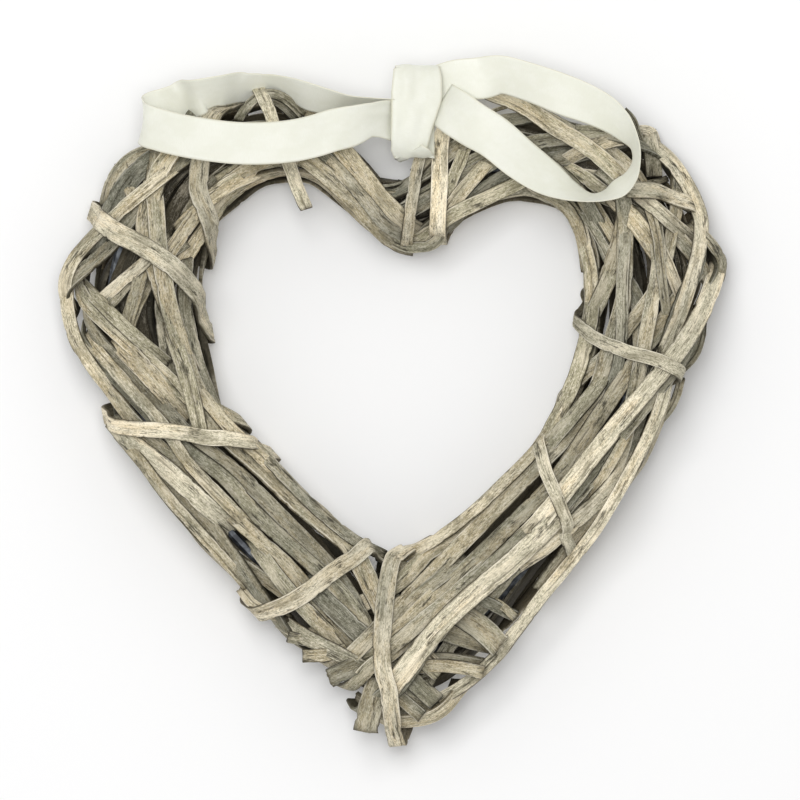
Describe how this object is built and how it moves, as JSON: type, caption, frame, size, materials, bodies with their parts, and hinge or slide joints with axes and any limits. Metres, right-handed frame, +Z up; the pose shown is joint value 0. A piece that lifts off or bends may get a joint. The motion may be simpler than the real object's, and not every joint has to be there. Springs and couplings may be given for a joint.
{
  "type": "wicker heart wreath",
  "caption": "Open heart-shaped wreath of split willow strips laid lengthwise over a wire, bound by cross wraps, with a satin bow at the notch.",
  "frame": {"origin": "middle of the underside's bounding box, at the level of the surface it lies on", "axes": "+Z up out of the heart's front, +Y from the tip towards the notch and the bow, +X to the right as seen from the front"},
  "size_m": [0.2486, 0.2566, 0.0534],
  "materials": {
    "willow_beige": "weathered, matt",
    "willow_grey": "weathered, matt",
    "willow_light": "weathered, matt",
    "dark_wire": "dark, dull",
    "cream_satin": "satin"
  },
  "bodies": {
    "root": {"heart_wire": "dark_wire", "left_inner_strip_1": "willow_grey", "left_inner_strip_2": "willow_grey", "right_inner_strip_1": "willow_grey", "right_inner_strip_2": "willow_grey", "back_strip_1": "willow_beige", "back_strip_2": "willow_grey", "back_strip_3": "willow_beige", "back_strip_4": "willow_grey", "side_strip_1": "willow_beige", "side_strip_2": "willow_grey", "notch_deep_strip": "willow_beige", "left_inner_edge_strip": "willow_grey", "left_outer_edge_strip": "willow_beige", "notch_outer_strip": "willow_grey", "left_lobe_inner_strip": "willow_beige", "right_lobe_inner_strip": "willow_grey", "left_lower_outer_strip": "willow_beige", "right_upper_strip_1": "willow_grey", "right_upper_strip_2": "willow_beige", "right_lobe_crossing_strip": "willow_grey", "right_lower_strip_1": "willow_beige", "right_lower_strip_2": "willow_grey", "tip_strip_1": "willow_beige", "tip_strip_2": "willow_grey", "left_long_strip_1": "willow_beige", "left_slant_strip": "willow_grey", "left_lobe_slant_strip": "willow_beige", "left_long_strip_2": "willow_grey", "right_long_strip_1": "willow_beige", "right_upper_strip_3": "willow_grey", "right_upper_strip_4": "willow_beige", "right_upper_strip_5": "willow_grey", "left_long_strip_3": "willow_beige", "left_long_strip_4": "willow_grey", "left_long_strip_5": "willow_beige", "left_middle_strip_1": "willow_grey", "left_middle_strip_2": "willow_beige", "lobe_to_lobe_strip": "willow_grey", "left_long_strip_6": "willow_beige", "right_long_strip_2": "willow_grey", "right_long_strip_3": "willow_beige", "right_long_strip_4": "willow_grey", "right_outer_strip_1": "willow_beige", "right_outer_strip_2": "willow_grey", "right_long_strip_5": "willow_beige", "wrap_left_upper": "willow_light", "wrap_left_middle": "willow_light", "wrap_left_lower": "willow_light", "wrap_tip": "willow_light", "wrap_right_lower": "willow_light", "wrap_right_middle": "willow_light", "wrap_notch_left": "willow_light", "wrap_notch_right": "willow_light", "wrap_left_lobe": "willow_light", "wrap_lobe_top": "willow_light", "wrap_right_lobe": "willow_light", "ribbon_knot": "cream_satin", "ribbon_left_loop": "cream_satin", "ribbon_right_loop": "cream_satin"}
  },
  "joints": []
}
